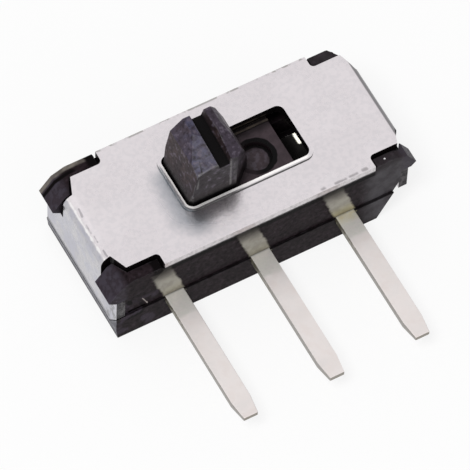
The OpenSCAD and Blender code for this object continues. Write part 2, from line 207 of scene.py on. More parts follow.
def round_edges_where(piece, wanted, width, steps=6):
    """Rounds the edges whose middle and direction pass a test."""
    mesh = open_mesh(piece, "EDGE")
    for edge in mesh.edges:
        a, b = (corner.co for corner in edge.verts)
        if wanted((a + b) / 2, (b - a).normalized()):
            edge.select_set(True)
    bmesh.update_edit_mesh(piece.data)
    bpy.ops.mesh.bevel(affect="EDGES", offset=width, segments=steps, profile=0.5)
    close_mesh(piece)


def upright(middle, along):
    """Whether an edge stands upright."""
    return abs(along.z) > 0.99


def across_top(middle, along):
    """Whether an edge runs from front to back, near the top."""
    return abs(along.y) > 0.99 and middle.z > SHOULDER_Z


def modify(piece, kind, **settings):
    """Adds a modifier with its settings, and makes what it does part of the mesh."""
    modifier = piece.modifiers.new("change", kind)
    for name, value in settings.items():
        setattr(modifier, name, value)
    work_on(piece)
    bpy.ops.object.modifier_apply(modifier=modifier.name)


def combine(piece, other, operation):
    """Adds the other piece to this one or cuts it away, and uses the other one up."""
    modify(piece, "BOOLEAN", operation=operation, solver="MANIFOLD", object=other)
    bpy.data.objects.remove(other)


def cut(piece, *others):
    """Cuts the other pieces away from this one."""
    for other in others:
        combine(piece, other, "DIFFERENCE")


def join(piece, *others):
    """Adds the other pieces to this one."""
    for other in others:
        combine(piece, other, "UNION")


def turned(piece, angle, axis, centre):
    """Turns a piece by an angle in degrees about an axis through a point."""
    turn = Matrix.Rotation(math.radians(angle), 4, axis)
    place = Matrix.Translation(centre) @ turn @ Matrix.Translation(-Vector(centre))
    piece.matrix_world = place
    settle(piece)
    return piece


def mirrored(piece, axes):
    """Mirrors a piece along each named axis, with its faces still outward."""
    for axis in axes:
        piece.scale["xyz".index(axis)] = -1
    settle(piece)
    open_mesh(piece, "FACE", "SELECT")
    bpy.ops.mesh.normals_make_consistent(inside=False)
    close_mesh(piece)
    return piece


def moved(piece, shift):
    """Moves a piece by a shift."""
    piece.location = shift
    settle(piece)
    return piece


def soften(piece, width, angle=35):
    """Merges stray points, breaks every sharp edge, and shades the rest smooth."""
    open_mesh(piece, "VERT", "SELECT")
    bpy.ops.mesh.remove_doubles(threshold=1e-4)
    bpy.ops.mesh.dissolve_limited(angle_limit=math.radians(0.5))
    close_mesh(piece)
    modify(piece, "BEVEL", width=width, segments=2, limit_method="ANGLE",
           angle_limit=math.radians(angle))


def finish_piece(piece, name, material, slot, body, *nodes):
    """Scales a piece to metres, gives it its finish, and fits it to the frame."""
    piece.name = piece.data.name = name
    work_on(piece)
    bpy.ops.object.shade_smooth_by_angle(angle=math.radians(40))
    modify(piece, "WEIGHTED_NORMAL", keep_sharp=True)
    piece.scale = (MM, MM, MM)
    settle(piece)
    piece.data.materials.clear()
    piece.data.materials.append(material)
    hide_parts(*nodes)
    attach(piece, body)
    return piece


# ---- the folded cover ----

def rounded_window(grow, z0, z1):
    """A block with four round upright edges, the window's outline grown on every side."""
    half_l, half_w = WINDOW_L / 2 + grow, WINDOW_W / 2 + grow
    piece = block((WINDOW_X - half_l, WINDOW_Y - half_w, z0),
                  (WINDOW_X + half_l, WINDOW_Y + half_w, z1))
    round_edges_where(piece, upright, WINDOW_R + grow, steps=8)
    return piece


def corner_notch(length):
    """The cutter of the notch at the back right corner, with a round inner corner."""
    x, y = END_X - length, EDGE_Y - NOTCH_D
    piece = block((x, y, SHOULDER_Z), (FAR, FAR, FAR))
    round_edges_where(piece, lambda middle, along: upright(middle, along)
                      and abs(middle.x - x) < NEAR and abs(middle.y - y) < NEAR, NOTCH_R)
    return piece


def neck_cutter(taper):
    """Narrows the plate's right end to its neck behind, above the flange's shoulders."""
    start_x, end_x = END_X - taper[0], END_X - taper[1]
    piece = block((start_x, NECK_W / 2, SHOULDER_Z), (FAR, FAR, FAR))
    plan_cut(piece, (end_x, NECK_W / 2), (start_x, EDGE_Y - NOTCH_D))
    return piece


def foot_shape(grow=0):
    """The foot under the left flange, with its raised front corner. Grown, it is a cutter."""
    x0, x1 = -END_X - grow, ROOT_L - BASE_X
    y0 = -BAND_Y - grow
    piece = block((x0, y0, -grow), (x1, BAND_Y + grow, FOOT_H))
    corner = block((x0, y0, -grow), (x1, FOOT_CORNER_L - BAND_Y, FLOOR_Z + 2 * grow))
    plane_cut(corner, (0, -BAND_Y, FLOOR_Z), (0, FLOOR_Z - FOOT_H, FOOT_CORNER_L))
    join(piece, corner)
    if not grow:
        slope_cut(piece, (FOOT_LEAN - END_X, 0), (-END_X, FOOT_H))
    return piece


def make_cover():
    """One sheet folded down at both ends, with a window, corner notches and shoulders."""
    piece = slab(END_X, EDGE_Y, 0, BODY_H)
    round_edges_where(piece, across_top, BEND_R, steps=7)
    inside = slab(END_X - SHEET_T, FAR, -1, BODY_H - SHEET_T)
    round_edges_where(inside, across_top, BEND_R - SHEET_T, steps=4)
    cut(piece, inside, block((0, -FAR, -1), (FAR, FAR, RIGHT_FOOT_Z)))
    for axes in ("", "y"):
        side = block((0, RIGHT_FLANGE_W / 2, -1), (FAR, FAR, SHOULDER_Z + LAP))
        cut(piece, mirrored(side, axes),
            mirrored(corner_notch(RIGHT_NOTCH_L), axes), mirrored(neck_cutter(RIGHT_TAPER), axes),
            mirrored(corner_notch(LEFT_NOTCH_L), axes + "x"),
            mirrored(neck_cutter(LEFT_TAPER), axes + "x"))
    moved(piece, (0, -COVER_FWD, 0))
    join(piece, rounded_window(LIP_W, BODY_H - SHEET_T / 2, BODY_H + LIP_H))
    cut(piece, rounded_window(0, 0, FAR), moved(foot_shape(1), (0, 0, FOOT_FIT)))
    soften(piece, EDGE_ROUND)
    return piece


# ---- the moulded base ----

def corner_post(length, face_y, sheet_y, taper, hook_y, out, corner=0):
    """The front post at the right end, from its inner slope to its hook or blunt end."""
    inner_x = END_X - length + POST_END_FIT
    inner_y = sheet_y - NOTCH_D + POST_FIT
    tip_x = END_X + out
    piece = block((inner_x, -face_y, HOOK_Z), (tip_x, -hook_y, POST_TOP_Z))
    slope_cut(piece, (BASE_X - ROOT_L, HOOK_Z), (inner_x, RIM_Z - POST_IN))
    slope_cut(piece, (inner_x, RIM_Z + POST_IN), (inner_x + POST_IN, POST_TOP_Z))
    slope_cut(piece, (END_X - POST_SLOPE, POST_TOP_Z), (END_X - HOOK_SLOPE, POST_TOP_Z - HOOK_RISE))
    if out > 0:
        slope_cut(piece, (END_X - HOOK_SLOPE, POST_TOP_Z - HOOK_RISE), (tip_x, HOOK_Z + HOOK_RISE))
        slope_cut(piece, (tip_x, HOOK_Z + HOOK_RISE), (END_X + COVER_FIT, HOOK_Z))
    start_x, end_x = END_X - taper[0], END_X - taper[1]
    cut(piece, block((inner_x - 1, -inner_y, 0), (start_x, 0, FAR)))
    slope = block((start_x - LAP, -inner_y, 0), (end_x, 0, FAR))
    plan_cut(slope, (end_x, -hook_y), (start_x, -inner_y))
    cut(piece, slope)
    if corner:
        plan_cut(piece, (tip_x, corner - face_y), (tip_x - corner, -face_y))
    return piece


def terminal_seats():
    """Cutters for the slots that the terminals and their pads lie in."""
    fit = MOULD_FIT
    cutters = []
    for middle, (x0, x1) in zip(TERM_XS, PADS):
        cutters += [block((x0 - fit, -PAD_Y - fit, FLOOR_Z - TERM_T - fit),
                          (x1 + fit, PAD_Y + fit, FLOOR_Z + fit)),
                    block((middle - TERM_W / 2 - fit, -FAR, FLOOR_Z - TERM_T - fit),
                          (middle + TERM_W / 2 + fit, 0, FLOOR_Z + fit))]
    return cutters


def make_base():
    """A lower band, thinner upper walls, four corner posts, and the slider's cavity."""
    piece = slab(BASE_X, WALL_Y, 0, RIM_Z)
    join(piece, slab(BASE_X, BAND_Y, 0, FLOOR_Z))
    slope_cut(piece, (BASE_X, BEVEL_H), (BASE_X - BEVEL_IN, 0))
    slope_cut(piece, (BASE_X - RIM_EDGE, RIM_Z), (BASE_X, RIM_Z - RIM_EDGE))
    slope_cut(piece, (-BASE_X, RIM_Z - RIM_EDGE), (RIM_EDGE - BASE_X, RIM_Z))
    front_y, back_y = EDGE_Y + COVER_FWD, EDGE_Y - COVER_FWD
    left = (LEFT_TAPER, LEFT_HOOK_Y, LEFT_HOOK_OUT)
    right = ((RIGHT_TAPER[0], BLUNT_IN), RIGHT_HOOK_Y)
    join(piece, foot_shape(),
         mirrored(corner_post(LEFT_NOTCH_L, BAND_Y, front_y, *left), "x"),
         mirrored(corner_post(LEFT_NOTCH_L, BAND_Y, back_y, *left), "xy"),
         corner_post(RIGHT_NOTCH_L, WALL_Y, front_y, *right, RIGHT_HOOK_OUT),
         mirrored(corner_post(RIGHT_NOTCH_L, WALL_Y, back_y, *right, -BLUNT_IN, BLUNT_CORNER),
                  "y"))
    cut(piece, block((CAVITY_X[0], -CAVITY_Y, SHELF_Z), (CAVITY_X[1], CAVITY_Y, FAR)),
        block((WELL_X[0], -WELL_Y, FLOOR_Z), (WELL_X[1], WELL_Y, FAR)))
    cut(piece, *terminal_seats())
    soften(piece, EDGE_ROUND)
    return piece


# ---- the slider ----

def flank(piece, side, start, end):
    """Slopes one side of the knob between two points, each given from the knob's middle."""
    (x0, z0), (x1, z1) = start, end
    if side < 0:
        slope_cut(piece, (-x0, z0), (-x1, z1))
    else:
        slope_cut(piece, (x1, z1), (x0, z0))


def groove_cutter():
    """The groove between the two crests, its floor falling towards the front."""
    depth = GROOVE_D + GROOVE_FALL
    floor_z = KNOB_TOP_Z - GROOVE_D
    lean = (CREST_IN - GROOVE_HALF) / depth
    top = floor_z + 2 * depth
    piece = slab(1, FAR, floor_z, top)
    slope_cut(piece, (-GROOVE_HALF, floor_z), (-GROOVE_HALF - lean * 2 * depth, top))
    slope_cut(piece, (GROOVE_HALF + lean * 2 * depth, top), (GROOVE_HALF, floor_z))
    return turned(piece, math.degrees(math.atan(GROOVE_FALL / KNOB_W)), "X",
                  (0, KNOB_W / 2, floor_z))


def facet_cutter(side):
    """Everything above the sloping facet on the front end of one crest."""
    corner = Vector((side * CREST_IN, FRONT_LEAN - KNOB_W / 2, KNOB_TOP_Z - FACET_DROP))
    wide, high = 3, 1.5
    piece = block(corner - Vector((wide, wide, 0)), corner + Vector((wide, wide, high)))
    turned(piece, FACET_FRONT, "X", corner)
    turned(piece, side * FACET_SIDE, "Y", corner)
    plane_cut(piece, (0, 0, 0), (-side, 0, 0))
    return piece


def make_knob():
    """A flared block with a groove between two crests and facets at their front ends."""
    half_l, half_w = KNOB_L / 2, KNOB_W / 2
    piece = slab(half_l, half_w, PLATE_Z, KNOB_TOP_Z)
    left = (LEFT_SHOULDER[0], BODY_H + LEFT_SHOULDER[1])
    right = (RIGHT_SHOULDER[0], BODY_H + RIGHT_SHOULDER[1])
    bulge = (RIGHT_BULGE[0], BODY_H + RIGHT_BULGE[1])
    crest = (CREST_OUT, KNOB_TOP_Z)
    flank(piece, -1, (half_l, BODY_H), left)
    flank(piece, -1, left, crest)
    flank(piece, 1, (half_l, BODY_H), bulge)
    flank(piece, 1, bulge, right)
    flank(piece, 1, right, crest)
    lean = Vector((0, BODY_H - KNOB_TOP_Z, FRONT_LEAN))
    plane_cut(piece, (0, -half_w, BODY_H), lean)
    plan_cut(piece, (half_l, CORNER_W - half_w), (half_l - CORNER_L, -half_w))
    plan_cut(piece, (half_l - KNOB_EDGE, half_w), (half_l, half_w - KNOB_EDGE))
    plan_cut(piece, (-half_l, half_w - KNOB_EDGE), (KNOB_EDGE - half_l, half_w))
    plan_cut(piece, (KNOB_EDGE - half_l, -half_w), (-half_l, KNOB_EDGE - half_w))
    cut(piece, facet_cutter(-1), facet_cutter(1), groove_cutter())
    return piece


def make_slider():
    """The guided plate with its ribs and recesses, the knob, and the contact's holder."""
    piece = slab(PLATE_L / 2, PLATE_W / 2, PLATE_Z, PLATE_TOP_Z)
    for side in (-1, 1):
        cut(piece, rod(side * RECESS_X, PLATE_TOP_Z - RECESS_D, FAR, RECESS_R))
        for y in RIB_YS:
            join(piece, block((-PLATE_L / 2, side * y - RIB_W / 2, PLATE_TOP_Z - OVERLAP),
                              (PLATE_L / 2, side * y + RIB_W / 2, PLATE_TOP_Z + RIB_H)))
    join(piece, slab(HOLDER_L / 2, HOLDER_W / 2, HOLDER_Z, PLATE_Z + OVERLAP),
         moved(make_knob(), (0, WINDOW_Y, 0)))
    cut(piece, slab(POCKET_L / 2, POCKET_W / 2, 0, HOLDER_Z + POCKET_H),
        rod(0, 0, BORE_TOP_Z, BORE_D / 2))
    moved(piece, (KNOB_X, 0, 0))
    soften(piece, SLIDER_ROUND, angle=12)
    return piece


# ---- contacts and terminals ----

def make_bridge():
    """A flat contact with two pressed dimples."""
    ball_r = (DIMPLE_R ** 2 + DIMPLE_H ** 2) / (2 * DIMPLE_H)
    piece = slab(BRIDGE_L / 2, BRIDGE_W / 2, 0, BRIDGE_T)
    for side in (-1, 1):
        deselect()
        bpy.ops.mesh.primitive_uv_sphere_add(
            segments=32, ring_count=24, radius=ball_r,
            location=(side * DIMPLE_PITCH / 2, 0, ball_r - DIMPLE_H))
        dimple = new_piece()
        plane_cut(dimple, (0, 0, BRIDGE_T / 2), (0, 0, 1))
        join(piece, dimple)
    moved(piece, (KNOB_X, 0, BRIDGE_Z))
    soften(piece, BRIDGE_ROUND)
    return piece


def make_spring():
    """A round wire wound into a coil."""
    coil_r = (SPRING_D - WIRE_D) / 2
    z0 = BRIDGE_Z + BRIDGE_T + WIRE_D / 2 + SPRING_FIT
    z1 = BORE_TOP_Z - WIRE_D / 2 - SPRING_FIT
    deselect()
    bpy.ops.mesh.primitive_circle_add(vertices=10, radius=WIRE_D / 2, location=(coil_r, 0, 0),
                                      rotation=(math.pi / 2, 0, 0))
    piece = new_piece()
    modify(piece, "SCREW", axis="Z", angle=2 * math.pi, iterations=SPRING_TURNS,
           screw_offset=(z1 - z0) / SPRING_TURNS, steps=32, render_steps=32,
           use_merge_vertices=False)
    open_mesh(piece, "EDGE", "SELECT")
    bpy.ops.mesh.fill_holes(sides=0)
    bpy.ops.mesh.normals_make_consistent(inside=False)
    close_mesh(piece)
    moved(piece, (KNOB_X, 0, z0))
    return piece


def make_terminal(middle, x0, x1):
    """A flat strip with a tapered tip, and its wide pad inside the base."""
    low, high = FLOOR_Z - TERM_T, FLOOR_Z
    piece = block((middle - TERM_W / 2, TIP_Y, low), (middle + TERM_W / 2, 0, high))
    for side in (-1, 1):
        plane_cut(piece, (middle + side * TIP_W / 2, TIP_Y, 0),
                  (side * TIP_L, (TIP_W - TERM_W) / 2, 0))
    plane_cut(piece, (0, TIP_Y, high - TIP_T), (0, TIP_T - TERM_T, -TIP_L))
    join(piece, block((x0, -PAD_Y, low), (x1, PAD_Y, high)))
    soften(piece, EDGE_ROUND)
    return piece


# ---- finishes ----

def tint(red, green, blue):
    """A colour from its three shades of 0 to 255."""
    shades = (red / 255, green / 255, blue / 255)
    return tuple(s / 12.92 if s <= 0.04045 else ((s + 0.055) / 1.055) ** 2.4
                 for s in shades) + (1,)


def feed(tree, socket, value):
    """Links an output to a socket, or writes a plain value into it."""
    if isinstance(value, bpy.types.NodeSocket):
        tree.links.new(value, socket)
    else:
        socket.default_value = value


def put(tree, kind, inputs=None, **settings):
    """Adds a node, makes its settings, and feeds its inputs."""
    made = tree.nodes.new("ShaderNode" + kind)
    for name, value in settings.items():
        setattr(made, name, value)
    for key, value in (inputs or {}).items():
        feed(tree, made.inputs[key], value)
    return made


def calc(tree, operation, *values):
    """One step of arithmetic on numbers."""
    return put(tree, "Math", dict(enumerate(values)), operation=operation).outputs[0]


def calc_place(tree, operation, *values):
    """One step of arithmetic on places and directions."""
    return put(tree, "VectorMath", dict(enumerate(values)), operation=operation).outputs[0]


def measure(tree, operation, *values):
    """A length, a distance or a product of places and directions, as a number."""
    return put(tree, "VectorMath", dict(enumerate(values)), operation=operation).outputs[1]


def scaled(tree, place, factor):
    """A place or direction times a number."""
    return put(tree, "VectorMath", {0: place, "Scale": factor}, operation="SCALE").outputs[0]


def ramp(tree, value, start, end, low=0.0, high=1.0):
    """Fades softly from low to high while a value goes from start to end."""
    return put(tree, "MapRange", {"Value": value, "From Min": start, "From Max": end,
                                  "To Min": low, "To Max": high},
               interpolation_type="SMOOTHSTEP").outputs["Result"]


def lay(tree, share, under, over):
    """Lays one colour over another by a share."""
    return put(tree, "Mix", {0: share, 6: under, 7: over}, data_type="RGBA").outputs[2]


def clouds(tree, place, size, detail=3.0):
    """A cloudy pattern of shades between 0 and 1."""
    return put(tree, "TexNoise", {"Vector": place, "Scale": size, "Detail": detail}).outputs[0]


def parts(tree, place):
    """The x, y and z of a place or direction."""
    return put(tree, "SeparateXYZ", {0: place}).outputs


def new_group(name, places, numbers, results):
    """A named group with its sockets: its tree, what it is given and what it gives."""
    tree = bpy.data.node_groups.new(name, "ShaderNodeTree")
    for labels, side, kind in ((places, "INPUT", "Vector"), (numbers, "INPUT", "Float"),
                               (results, "OUTPUT", "Float")):
        for label in labels.split():
            tree.interface.new_socket(label, in_out=side, socket_type="NodeSocket" + kind)
    return tree, tree.nodes.new("NodeGroupInput").outputs, tree.nodes.new("NodeGroupOutput").inputs


def ragged(tree, given, apart):
    """A distance that wavers with a cloudy pattern, which makes a mark's sides ragged."""
    wobble = calc(tree, "SUBTRACT", clouds(tree, given["Place"], given["Grain"]), 0.5)
    return calc(tree, "MULTIPLY_ADD", wobble, given["Ragged"], apart)


def make_line_mark():
    """A mark with ragged sides along a straight line between two places."""
    tree, given, gives = new_group("line_mark", "Place Start End",
                                   "Width Fade Ragged Grain", "Mark")
    reach = calc_place(tree, "SUBTRACT", given["End"], given["Start"])
    offset = calc_place(tree, "SUBTRACT", given["Place"], given["Start"])
    run = calc(tree, "DIVIDE", measure(tree, "DOT_PRODUCT", offset, reach),
               measure(tree, "DOT_PRODUCT", reach, reach))
    share = put(tree, "Clamp", {"Value": run}).outputs[0]
    apart = measure(tree, "DISTANCE", offset, scaled(tree, reach, share))
    limit = calc(tree, "ADD", given["Width"], given["Fade"])
    feed(tree, gives["Mark"], ramp(tree, ragged(tree, given, apart), limit, given["Width"]))
    return tree


def make_soft_patch():
    """A patch with soft ragged sides that fills a block round its middle."""
    tree, given, gives = new_group("soft_patch", "Place Middle Half",
                                   "Fade Ragged Grain", "Patch")
    offset = calc_place(tree, "ABSOLUTE",
                        calc_place(tree, "SUBTRACT", given["Place"], given["Middle"]))
    x, y, z = parts(tree, calc_place(tree, "SUBTRACT", offset, given["Half"]))
    apart = calc(tree, "MAXIMUM", x, calc(tree, "MAXIMUM", y, z))
    feed(tree, gives["Patch"], ramp(tree, ragged(tree, given, apart), given["Fade"], 0.0))
    return tree


def make_specks():
    """Small scattered specks, more of them as the amount grows."""
    tree, given, gives = new_group("scattered_specks", "Place", "Grain Amount", "Specks")
    limit = calc(tree, "SUBTRACT", 0.78, calc(tree, "MULTIPLY", given["Amount"], 0.4))
    over = calc(tree, "SUBTRACT", clouds(tree, given["Place"], given["Grain"], 2.0), limit)
    feed(tree, gives["Specks"], ramp(tree, over, 0.0, 0.06))
    return tree


def make_worn_edges():
    """Where a piece's outer edges are worn, with gaps left by chance."""
    tree, given, gives = new_group("worn_edges", "Place", "Reach Grain", "Wear")
    shape = put(tree, "NewGeometry").outputs["Normal"]
    rounded = put(tree, "Bevel", {"Radius": given["Reach"]}, samples=6).outputs[0]
    turn = measure(tree, "DOT_PRODUCT", shape, rounded)
    edge = ramp(tree, turn, 0.99, 0.86)
    rub = ramp(tree, clouds(tree, given["Place"], given["Grain"]), 0.4, 0.62)
    feed(tree, gives["Wear"], calc(tree, "MULTIPLY", edge, rub))
    return tree


def make_crevices():
    """How deep a place lies among its neighbours, from 0 in the open to 1."""
    tree, given, gives = new_group("crevices", "", "Reach", "Depth")
    shade = put(tree, "AmbientOcclusion", {"Distance": given["Reach"]}, samples=8)
    feed(tree, gives["Depth"], ramp(tree, shade.outputs["AO"], 0.95, 0.25))
    return tree


def make_surface():
    """The grain of a surface: clouds for its colour, fine grain, and a height for its bump."""
    tree, given, gives = new_group("surface_grain", "Place", "Coarse Fine",
                                   "Clouds Grain Height")
    coarse = clouds(tree, given["Place"], given["Coarse"])
    fine = clouds(tree, given["Place"], given["Fine"], 4.0)
    feed(tree, gives["Clouds"], coarse)
    feed(tree, gives["Grain"], fine)
    feed(tree, gives["Height"], calc(tree, "MULTIPLY_ADD", coarse, 0.5, fine))
    return tree


LINE_MARK, SOFT_PATCH, SPECKS = make_line_mark(), make_soft_patch(), make_specks()
WORN_EDGES, CREVICES, SURFACE = make_worn_edges(), make_crevices(), make_surface()


def use(tree, group, *values):
    """Adds one of the groups above, given its inputs in their order."""
    return put(tree, "Group", dict(enumerate(values)), node_tree=group).outputs


class Finish:
    """A material in the making: its tree, the place on the piece in mm, and its colour so far."""

    def __init__(self, name, shades, metallic=0.0, roughness=0.4, ior=1.45):
        self.material = bpy.data.materials.new(name)
        self.material.use_nodes = True
        self.tree = self.material.node_tree
        self.shader = self.tree.nodes["Principled BSDF"]
        self.shader.inputs["Metallic"].default_value = metallic
        self.shader.inputs["IOR"].default_value = ior
        metres = put(self.tree, "TexCoord").outputs["Object"]
        self.place = scaled(self.tree, metres, 1 / MM)
        self.x, self.y, self.z = parts(self.tree, self.place)
        normal = put(self.tree, "NewGeometry").outputs["Normal"]
        self.facing = parts(self.tree, normal)
        self.colour = tint(*shades)
        self.roughness = roughness
        self.height = 0.0

    def calc(self, *values):
        return calc(self.tree, *values)

    def ramp(self, *values):
        return ramp(self.tree, *values)

    def clouds(self, size, detail=3.0):
        return clouds(self.tree, self.place, size, detail)

    def blotches(self, size, *limits):
        """A mask that fades from low to high while the clouds go from start to end."""
        return self.ramp(self.clouds(size), *limits)

    def both(self, *shares):
        """The place where all of the masks are."""
        return reduce(lambda one, two: self.calc("MULTIPLY", one, two), shares)

    def any(self, *shares):
        """The place where at least one of the masks is."""
        return reduce(lambda one, two: self.calc("MAXIMUM", one, two), shares)

    def within(self, value, low, high, fade):
        """Between two limits, with soft ends."""
        return self.both(self.ramp(value, low - fade, low), self.ramp(value, high + fade, high))

    def paint(self, shades, *shares):
        """Lays a colour over the one so far, where all of the masks are."""
        self.colour = lay(self.tree, self.both(*shares), self.colour, tint(*shades))

    def roughen(self, share, roughness):
        """Moves the roughness towards a value, by a share."""
        change = self.calc("SUBTRACT", roughness, self.roughness)
        self.roughness = self.calc("MULTIPLY_ADD", share, change, self.roughness)

    def raise_by(self, share, height):
        self.height = self.calc("MULTIPLY_ADD", share, height, self.height)

    def line(self, start, end, width, fade=0.02, ragged=0.03, grain=8.0):
        return use(self.tree, LINE_MARK, self.place, start, end, width, fade, ragged, grain)[0]

    def patch(self, middle, half, fade=0.1, ragged=0.1, grain=6.0, place=None):
        place = place or self.place
        return use(self.tree, SOFT_PATCH, place, middle, half, fade, ragged, grain)[0]

    def specks(self, grain, amount):
        return use(self.tree, SPECKS, self.place, grain, amount)[0]

    def wear(self, reach, grain=5.0):
        return use(self.tree, WORN_EDGES, self.place, reach * MM, grain)[0]

    def crevices(self, reach):
        return use(self.tree, CREVICES, reach * MM)[0]

    def give_grain(self, coarse, fine, height):
        """Gives the surface its grain: two patterns for its masks, and the height of its bump."""
        grain = use(self.tree, SURFACE, self.place, coarse, fine)
        self.coarse_grain, self.fine_grain, bumps = grain
        self.raise_by(bumps, height)

    def coarse(self, *limits):
        """A mask that fades with the coarse clouds of the grain."""
        return self.ramp(self.coarse_grain, *limits)

    def fine(self, *limits):
        """A mask that fades with the fine grain."""
        return self.ramp(self.fine_grain, *limits)

    def done(self, bump):
        """Joins the colour, roughness and bump to the shader."""
        feed(self.tree, self.shader.inputs["Base Color"], self.colour)
        feed(self.tree, self.shader.inputs["Roughness"], self.roughness)
        raised = put(self.tree, "Bump", {"Height": self.height, "Distance": MM,
                                         "Strength": bump})
        feed(self.tree, self.shader.inputs["Normal"], raised.outputs[0])
        return self.material


def shade_left_flange(f):
    """Painted shade and reflection: the left flange is painted darker, bluish and blotched, with a
    ragged band of painted shade along its foot, and specks at its front corner.
    """
    flange = f.both(f.ramp(f.x, 0.15 - END_X, 0.1 - END_X),
                    f.ramp(f.z, BODY_H - 0.09, BODY_H - 0.15))
    # Painted shade and reflection: the flange darker and bluer than the top.
    f.paint((192, 190, 193), flange)
    f.paint((178, 178, 190), flange, f.blotches(2.2, 0.4, 0.62, 0.0, 0.8))
    f.paint((172, 172, 178), flange, f.fine(0.5, 0.62, 0.0, 0.6))
    # Painted shade: a ragged dark band along the foot of the flange.
    ragged = f.calc("MULTIPLY_ADD", f.clouds(3.0), 0.2, f.z)
    f.paint((104, 104, 110), flange, f.ramp(ragged, 0.72, 0.66),
            f.ramp(f.y, -1.5, -1.3, 0.3, 0.85))
    corner = f.both(flange, f.ramp(f.y, -1.3, -1.45),
                    f.ramp(f.z, SHOULDER_Z - 0.06, SHOULDER_Z - 0.26))
    f.paint((112, 112, 114), corner, f.specks(5.0, 0.55), 0.75)


def shade_cut_faces(f):
    """The faces where the sheet was cut, at the ends of the flanges, the notches, the window and
    the shoulders, are painted dark, partly as raw cut edges and partly as painted shade, but its
    front edge is bright. Gives the mask of the uncut faces."""
    x_side, y_side, z_side = (f.calc("ABSOLUTE", side) for side in f.facing)
    far_x, far_y = f.calc("ABSOLUTE", f.x), f.calc("ABSOLUTE", f.y)
    cut_faces = f.any(f.ramp(y_side, 0.2, 0.35),
                      f.both(f.ramp(x_side, 0.5, 0.8), f.ramp(far_x, END_X - 0.29, END_X - 0.33)),
                      f.both(f.ramp(z_side, 0.5, 0.8), f.ramp(f.z, BODY_H - 0.4, BODY_H - 0.5)))
    # Painted shade on the cut faces, partly the dark of raw cut edges.
    f.paint((34, 31, 34), cut_faces, f.fine(0.35, 0.6, 0.9, 1.0))
    notch_walls = f.both(cut_faces, f.ramp(far_y, EDGE_Y - 0.04, EDGE_Y - 0.08),
                         f.ramp(f.z, SHOULDER_Z + 0.04, SHOULDER_Z + 0.14))
    # Painted shade: the notch and window walls painted black.
    f.paint((16, 13, 14), notch_walls)
    f.paint((106, 96, 86), notch_walls, f.within(f.z, BODY_H - 0.18, BODY_H - 0.14, 0.02),
            f.within(f.x, 0.0, 1.4, 0.2), f.blotches(2.5, 0.35, 0.6, 0.0, 0.35))
    front_cut = f.both(f.ramp(f.facing[1], -0.5, -0.8), f.ramp(f.z, BODY_H - 0.22, BODY_H - 0.16),
                       f.ramp(f.y, 0.08 - EDGE_Y, 0.03 - EDGE_Y))
    f.paint((208, 203, 205), front_cut, f.blotches(9.0, 0.45, 0.62, 1.0, 0.8))
    raw = f.both(cut_faces, f.calc("SUBTRACT", 1.0, front_cut))
    feed(f.tree, f.shader.inputs["Metallic"], f.ramp(raw, 0.0, 1.0, 1.0, 0.0))
    return f.calc("SUBTRACT", 1.0, cut_faces)


def polish_and_light_lip(f, uncut):
    """The lip is polished, with a painted highlight on its rim, a line of painted shade at its
    foot, and a painted reflection of the knob at its left.
    """
    offset = calc_place(f.tree, "ABSOLUTE",
                        calc_place(f.tree, "SUBTRACT", f.place, (WINDOW_X, WINDOW_Y, 0)))
    corner = calc_place(f.tree, "SUBTRACT", offset,
                        (WINDOW_L / 2 - WINDOW_R, WINDOW_W / 2 - WINDOW_R, FAR))
    outside = calc_place(f.tree, "MAXIMUM", corner, (0, 0, 0))
    apart = measure(f.tree, "LENGTH", outside)
    rim = WINDOW_R + LIP_W
    top = f.ramp(f.z, BODY_H - 0.05, BODY_H - 0.02)
    f.roughen(f.both(f.ramp(apart, 1.1, 0.35), top, f.ramp(f.y, 0.7, 0.2)), 0.21)
    front_side = f.both(f.ramp(f.y, -0.55, -0.7), f.ramp(f.x, 1.9, 1.75))
    left_end = f.both(f.ramp(f.x, -1.5, -1.6), f.ramp(f.y, 0.75, 0.6))
    left_side = f.both(left_end, f.ramp(apart, WINDOW_R + 0.05, WINDOW_R + 0.03))
    bright = f.both(f.any(front_side, left_side), f.ramp(apart, WINDOW_R + 0.08, WINDOW_R + 0.06),
                    f.ramp(f.z, BODY_H + 0.005, BODY_H + 0.02))
    # Painted highlight along the rim of the lip, at its front and left sides.
    f.paint((244, 241, 240), bright)
    f.roughen(bright, 0.5)
    # Painted shade: a dark line at the foot of the lip along its front.
    f.paint((120, 120, 120), f.within(apart, rim - 0.004, rim + 0.014, 0.014), front_side, top,
            f.blotches(3.0, 0.35, 0.5, 0.2, 0.8))
    # Painted reflection of the knob over the outer part of the lip's left end.
    f.paint((122, 128, 134), left_end, top,
            f.within(apart, WINDOW_R + 0.07, rim + 0.02, 0.02), 0.7)
    # Painted reflection of the knob, bluish grey, beside the lip's left side.
    back, middle, front = (-1.76, 0.25, BODY_H), (-1.85, -0.95, BODY_H), (-1.6, -1.2, BODY_H)
    knob_reflection = f.any(f.line(back, middle, 0.0, 0.6, 0.2, 3.0),
                  f.line(middle, front, 0.0, 0.6, 0.2, 3.0))
    f.paint((130, 139, 148), knob_reflection, uncut, f.ramp(f.z, BODY_H + LIP_H, BODY_H + 0.01), 0.6)


